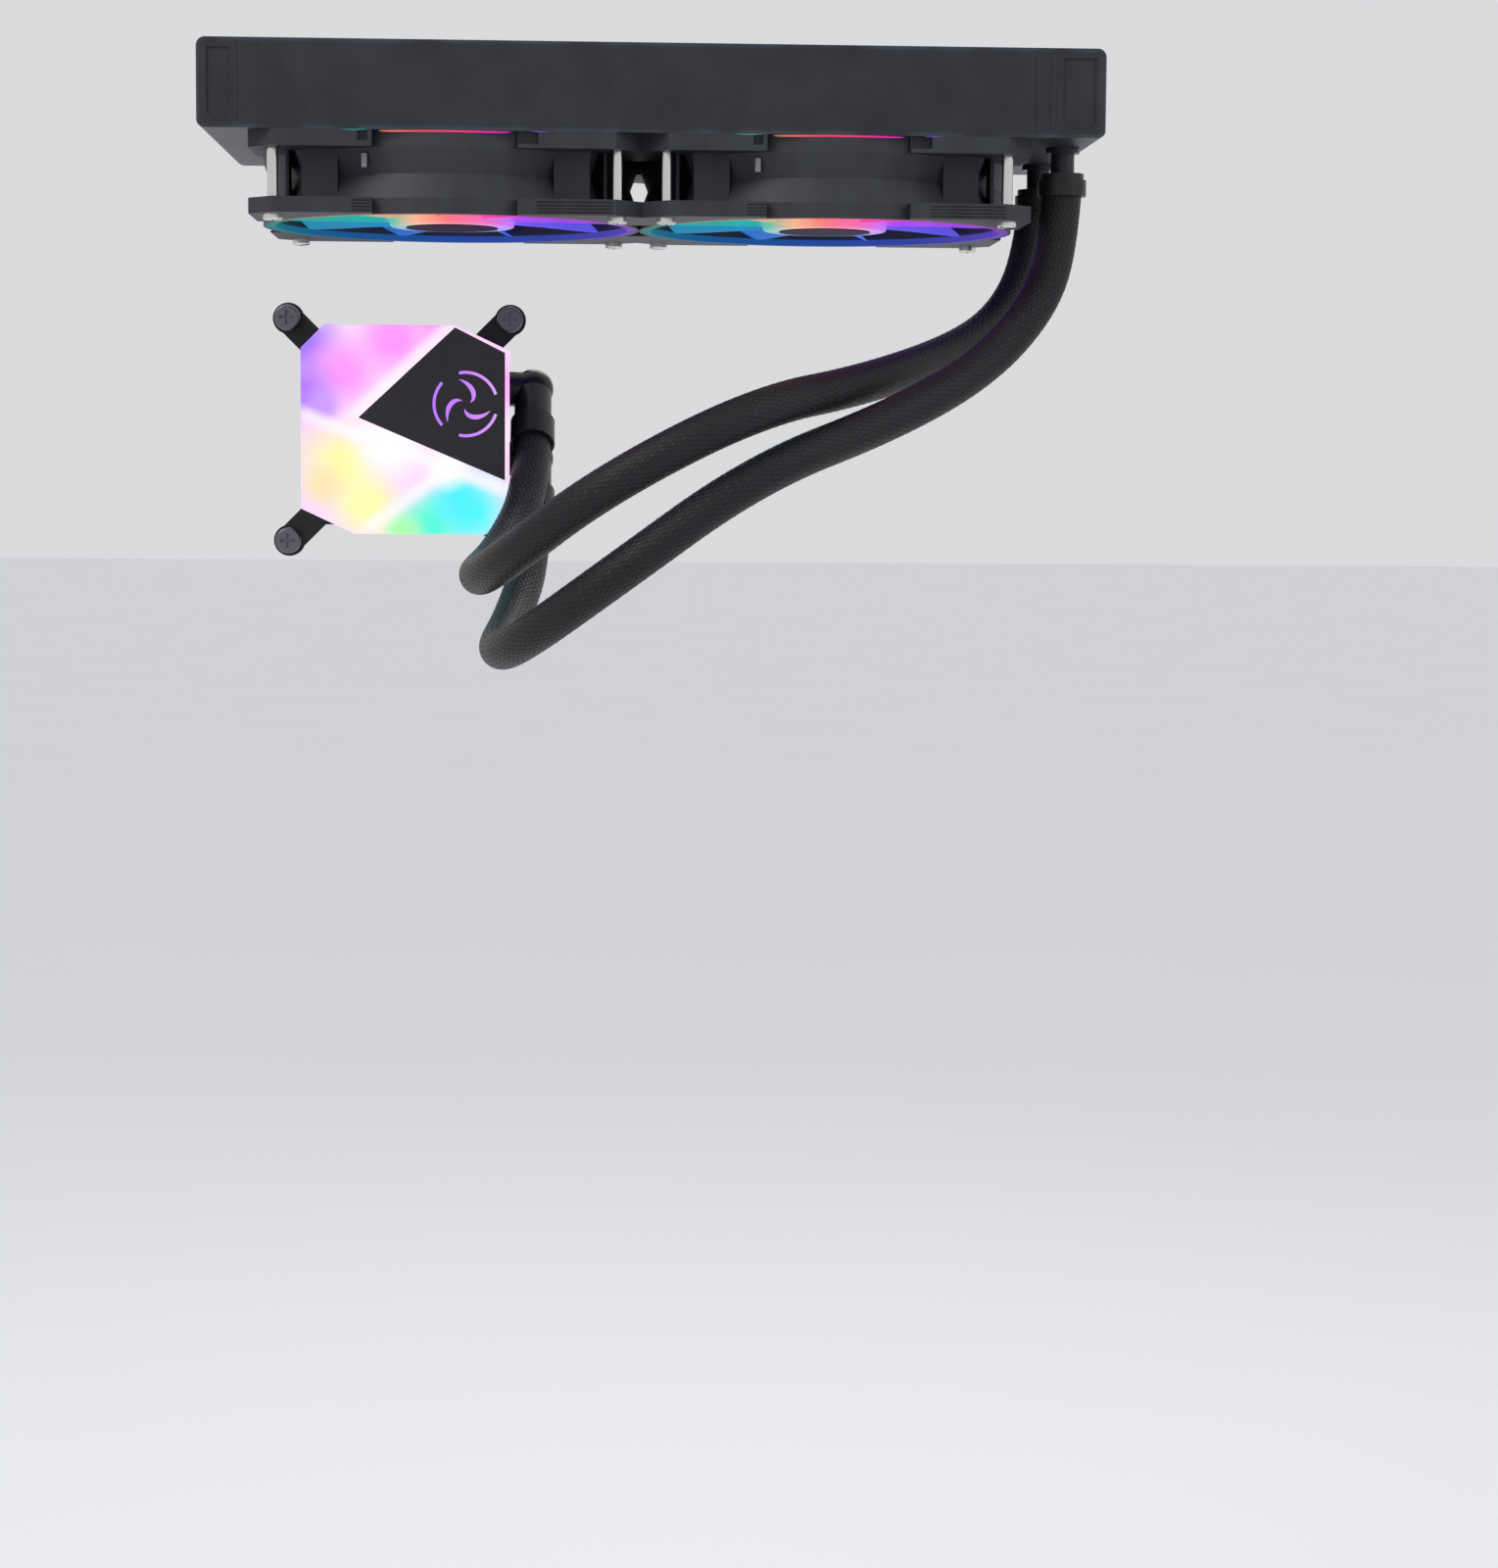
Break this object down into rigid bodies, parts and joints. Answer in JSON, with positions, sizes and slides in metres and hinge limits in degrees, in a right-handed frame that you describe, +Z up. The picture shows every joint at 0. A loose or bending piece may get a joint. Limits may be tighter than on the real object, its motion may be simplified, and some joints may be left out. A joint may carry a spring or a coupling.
{
  "type": "liquid cooling radiator",
  "caption": "Sealed liquid cooler: finned radiator with lit axial fans beneath, braided hoses on swivel elbows, and a square pump block with a lit bevelled face.",
  "frame": {"origin": "centre of the radiator's outer case-screw pattern, on its top face", "axes": "+X along the radiator to the end with the hose ports, +Y to the pump block's cold plate side, +Z up, out of the top face"},
  "size_m": [0.2785, 0.2096, 0.1922],
  "materials": {
    "radiator_paint": "fine satin powder coat",
    "core_paint": "thin matte black paint",
    "plug_paint": "satin",
    "port_paint": "satin",
    "ferrule": "smooth satin",
    "elbow_plastic": "moulded satin",
    "hose_sleeve": "rubber hose in a close black nylon braid",
    "face_diffuser": "clear polished front over a frosted light spreader",
    "panel_gloss": "dark polished inlay",
    "block_plastic": "fine spark-eroded texture",
    "board": "solder mask",
    "inner_plastic": "glass-filled, moulded",
    "winding": "enamelled copper windings on a coated core",
    "magnet": "bonded ferrite",
    "steel": "ground",
    "seal_rubber": "moulded",
    "copper": "machined copper, lapped",
    "bracket_paint": "satin black",
    "screw_black": "black nickel",
    "screw_zinc": "bright zinc",
    "fan_plastic": "fine spark-eroded texture",
    "blade_plastic": "frosted translucent",
    "hub_disc": "matte film",
    "light_ring": "milky light spreader",
    "bearing_brass": "sintered"
  },
  "bodies": {
    "cooler": {"block_gasket": "seal_rubber", "block_manifold": "block_plastic", "block_shroud": "block_plastic", "cable_gland": "seal_rubber", "captive_screws": "screw_black", "captive_springs": "steel", "cold_plate": "copper", "cold_plate_screws": "steel", "diffuser_plate": "face_diffuser", "fan_bearing_a": "bearing_brass", "fan_bearing_b": "bearing_brass", "fan_board_a": "board", "fan_board_b": "board", "fan_frame_a": "fan_plastic", "fan_frame_b": "fan_plastic", "fan_light_ring_a": "light_ring", "fan_light_ring_b": "light_ring", "fan_screws_a": "screw_zinc", "fan_screws_b": "screw_zinc", "fan_stator_a": "winding", "fan_stator_b": "winding", "fill_plug": "plug_paint", "fin_strips": "core_paint", "flat_tubes": "core_paint", "header_left": "core_paint", "header_right": "core_paint", "hose_far": "hose_sleeve", "hose_near": "hose_sleeve", "kite_panel": "panel_gloss", "led_board": "board", "mount_bracket": "bracket_paint", "port_far": "port_paint", "port_ferrule_far": "ferrule", "port_ferrule_near": "ferrule", "port_near": "port_paint", "pump_board": "board", "pump_can": "inner_plastic", "pump_divider": "inner_plastic", "pump_shaft": "steel", "pump_stator": "winding", "side_plate_far": "radiator_paint", "side_plate_near": "radiator_paint", "tank_left": "radiator_paint", "tank_right": "radiator_paint"},
    "fan_spinner_a": {"fan_rotor_a": "blade_plastic", "fan_hub_disc_a": "hub_disc", "fan_magnet_a": "magnet", "fan_shaft_a": "steel"},
    "fan_spinner_b": {"fan_rotor_b": "blade_plastic", "fan_hub_disc_b": "hub_disc", "fan_magnet_b": "magnet", "fan_shaft_b": "steel"},
    "pump_spinner": {"pump_impeller": "inner_plastic", "pump_magnet": "magnet"},
    "swivel_upper": {"elbow_upper": "elbow_plastic", "elbow_ferrule_upper": "ferrule"},
    "swivel_lower": {"elbow_lower": "elbow_plastic", "elbow_ferrule_lower": "ferrule"}
  },
  "joints": [
    {"name": "fan_spin_a", "type": "hinge", "parent": "cooler", "child": "fan_spinner_a", "pos_m": [-0.06, 0, -0.04], "axis": [0, 0, 1], "continuous": true},
    {"name": "fan_spin_b", "type": "hinge", "parent": "cooler", "child": "fan_spinner_b", "pos_m": [0.06, 0, -0.04], "axis": [0, 0, 1], "continuous": true},
    {"name": "pump_spin", "type": "hinge", "parent": "cooler", "child": "pump_spinner", "pos_m": [-0.08, 0.078, -0.115], "axis": [0, 1, 0], "continuous": true},
    {"name": "elbow_upper_turn", "type": "hinge", "parent": "cooler", "child": "swivel_upper", "pos_m": [-0.035, 0.08398, -0.10047], "axis": [1, 0, 0], "range_deg": [-15, 0], "deforming": ["hose_far"]},
    {"name": "elbow_lower_turn", "type": "hinge", "parent": "cooler", "child": "swivel_lower", "pos_m": [-0.035, 0.08398, -0.12447], "axis": [1, 0, 0], "range_deg": [-4, 10], "deforming": ["hose_near"]}
  ]
}
